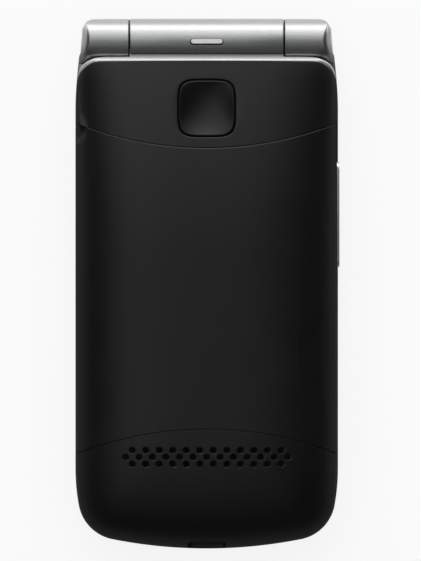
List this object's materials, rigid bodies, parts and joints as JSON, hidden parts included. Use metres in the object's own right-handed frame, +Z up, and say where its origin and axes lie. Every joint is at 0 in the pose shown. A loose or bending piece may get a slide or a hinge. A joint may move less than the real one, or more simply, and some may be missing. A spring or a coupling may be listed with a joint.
{
  "type": "clamshell mobile phone",
  "caption": "Folding mobile phone, shut: crowned black back with battery cover, emergency button and speaker holes, silver bands and a barrel hinge with a lamp; keypad and displays inside.",
  "frame": {"origin": "bottom centre of the closed phone's bounding box, on the table that it lies on", "axes": "+Y along the length, towards the hinge; +Z up out of the back of the keypad half; +X to the right as seen from above the back, where the volume rocker is"},
  "size_m": [0.0523, 0.105, 0.02],
  "materials": {
    "silver_paint": "silver metallic paint on moulded plastic",
    "case_black": "black, fine satin texture",
    "deck_grey": "dark grey satin",
    "key_grey": "dark grey satin",
    "key_green": "green satin",
    "key_red": "red satin",
    "nav_silver": "silver paint",
    "board_green": "solder-resist green",
    "spring_steel": "bright",
    "contact_gold": "gold-plated",
    "polyimide": "amber film",
    "cell_wrap": "aluminium cell in a dark printed film",
    "speaker_frame": "dark grey",
    "mesh_grey": "woven screen",
    "lens_white": "milky white diffuser",
    "window_black": "dark printed window, polished",
    "display_glass": "dark, polished",
    "rubber_black": "soft black",
    "chrome_trim": "bright plated",
    "magnet_grey": "nickel-plated magnet"
  },
  "bodies": {
    "lid": {"lid_frame": "silver_paint", "lid_cover": "case_black", "outer_window": "window_black", "outer_display": "display_glass", "camera_module": "window_black", "lid_board": "board_green", "main_display": "display_glass", "inner_bezel": "deck_grey", "inner_window": "display_glass", "earpiece": "speaker_frame", "earpiece_mesh": "mesh_grey", "lid_bumpers": "rubber_black", "lid_magnet": "magnet_grey", "hinge_housing": "spring_steel", "disc_springs": "spring_steel", "hinge_bush": "spring_steel", "hinge_caps": "chrome_trim"},
    "base": {"base_frame": "silver_paint", "keypad_deck": "deck_grey", "rear_case": "case_black", "battery": "cell_wrap", "main_board": "board_green", "board_shields": "spring_steel", "sim_socket": "spring_steel", "battery_contacts": "contact_gold", "dome_sheet": "spring_steel", "loudspeaker": "speaker_frame", "speaker_mesh": "mesh_grey", "sos_switch": "spring_steel", "volume_switches": "spring_steel", "vibration_motor": "spring_steel", "antenna": "contact_gold", "microphone": "contact_gold", "usb_socket": "spring_steel", "case_screws": "spring_steel", "light_lens": "lens_white", "light_board": "contact_gold", "hinge_shaft": "spring_steel", "hinge_flex": "polyimide"},
    "nav_pad": {"nav_pad": "nav_silver"},
    "ok_key": {"ok_key": "key_grey"},
    "key_1": {"key_1": "key_grey"},
    "key_2": {"key_2": "key_grey"},
    "key_3": {"key_3": "key_grey"},
    "key_4": {"key_4": "key_grey"},
    "key_5": {"key_5": "key_grey"},
    "key_6": {"key_6": "key_grey"},
    "key_7": {"key_7": "key_grey"},
    "key_8": {"key_8": "key_grey"},
    "key_9": {"key_9": "key_grey"},
    "key_star": {"key_star": "key_grey"},
    "key_0": {"key_0": "key_grey"},
    "key_hash": {"key_hash": "key_grey"},
    "soft_key_left": {"soft_key_left": "key_grey"},
    "soft_key_right": {"soft_key_right": "key_grey"},
    "call_key": {"call_key": "key_green"},
    "end_key": {"end_key": "key_red"},
    "sos_button": {"sos_button": "case_black"},
    "volume_rocker": {"volume_rocker": "silver_paint"},
    "battery_cover": {"battery_cover": "case_black"}
  },
  "joints": [
    {"name": "fold_hinge", "type": "hinge", "parent": "lid", "child": "base", "pos_m": [0, 0.048, 0.0086], "axis": [-1, 0, 0], "range_deg": [0, 160]},
    {"name": "nav_pad_press", "type": "slide", "parent": "base", "child": "nav_pad", "axis": [0, 0, 1], "range_m": [0, 0.00035], "stiffness_N_per_m": 4000},
    {"name": "ok_key_press", "type": "slide", "parent": "base", "child": "ok_key", "axis": [0, 0, 1], "range_m": [0, 0.00035], "stiffness_N_per_m": 4000},
    {"name": "key_1_press", "type": "slide", "parent": "base", "child": "key_1", "axis": [0, 0, 1], "range_m": [0, 0.00035], "stiffness_N_per_m": 4000},
    {"name": "key_2_press", "type": "slide", "parent": "base", "child": "key_2", "axis": [0, 0, 1], "range_m": [0, 0.00035], "stiffness_N_per_m": 4000},
    {"name": "key_3_press", "type": "slide", "parent": "base", "child": "key_3", "axis": [0, 0, 1], "range_m": [0, 0.00035], "stiffness_N_per_m": 4000},
    {"name": "key_4_press", "type": "slide", "parent": "base", "child": "key_4", "axis": [0, 0, 1], "range_m": [0, 0.00035], "stiffness_N_per_m": 4000},
    {"name": "key_5_press", "type": "slide", "parent": "base", "child": "key_5", "axis": [0, 0, 1], "range_m": [0, 0.00035], "stiffness_N_per_m": 4000},
    {"name": "key_6_press", "type": "slide", "parent": "base", "child": "key_6", "axis": [0, 0, 1], "range_m": [0, 0.00035], "stiffness_N_per_m": 4000},
    {"name": "key_7_press", "type": "slide", "parent": "base", "child": "key_7", "axis": [0, 0, 1], "range_m": [0, 0.00035], "stiffness_N_per_m": 4000},
    {"name": "key_8_press", "type": "slide", "parent": "base", "child": "key_8", "axis": [0, 0, 1], "range_m": [0, 0.00035], "stiffness_N_per_m": 4000},
    {"name": "key_9_press", "type": "slide", "parent": "base", "child": "key_9", "axis": [0, 0, 1], "range_m": [0, 0.00035], "stiffness_N_per_m": 4000},
    {"name": "key_star_press", "type": "slide", "parent": "base", "child": "key_star", "axis": [0, 0, 1], "range_m": [0, 0.00035], "stiffness_N_per_m": 4000},
    {"name": "key_0_press", "type": "slide", "parent": "base", "child": "key_0", "axis": [0, 0, 1], "range_m": [0, 0.00035], "stiffness_N_per_m": 4000},
    {"name": "key_hash_press", "type": "slide", "parent": "base", "child": "key_hash", "axis": [0, 0, 1], "range_m": [0, 0.00035], "stiffness_N_per_m": 4000},
    {"name": "soft_key_left_press", "type": "slide", "parent": "base", "child": "soft_key_left", "axis": [0, 0, 1], "range_m": [0, 0.00035], "stiffness_N_per_m": 4000},
    {"name": "soft_key_right_press", "type": "slide", "parent": "base", "child": "soft_key_right", "axis": [0, 0, 1], "range_m": [0, 0.00035], "stiffness_N_per_m": 4000},
    {"name": "call_key_press", "type": "slide", "parent": "base", "child": "call_key", "axis": [0, 0, 1], "range_m": [0, 0.00035], "stiffness_N_per_m": 4000},
    {"name": "end_key_press", "type": "slide", "parent": "base", "child": "end_key", "axis": [0, 0, 1], "range_m": [0, 0.00035], "stiffness_N_per_m": 4000},
    {"name": "sos_press", "type": "slide", "parent": "base", "child": "sos_button", "axis": [0, 0, -1], "range_m": [0, 0.0004], "stiffness_N_per_m": 4000},
    {"name": "volume_tilt", "type": "hinge", "parent": "base", "child": "volume_rocker", "pos_m": [0.02425, 0.01365, 0.0122], "axis": [0, 0, 1], "range_deg": [-1.2, 1.2], "stiffness_Nm_per_rad": 0.5},
    {"name": "cover_lift", "type": "slide", "parent": "base", "child": "battery_cover", "axis": [0, 0, 1], "range_m": [0, 0.012]}
  ]
}
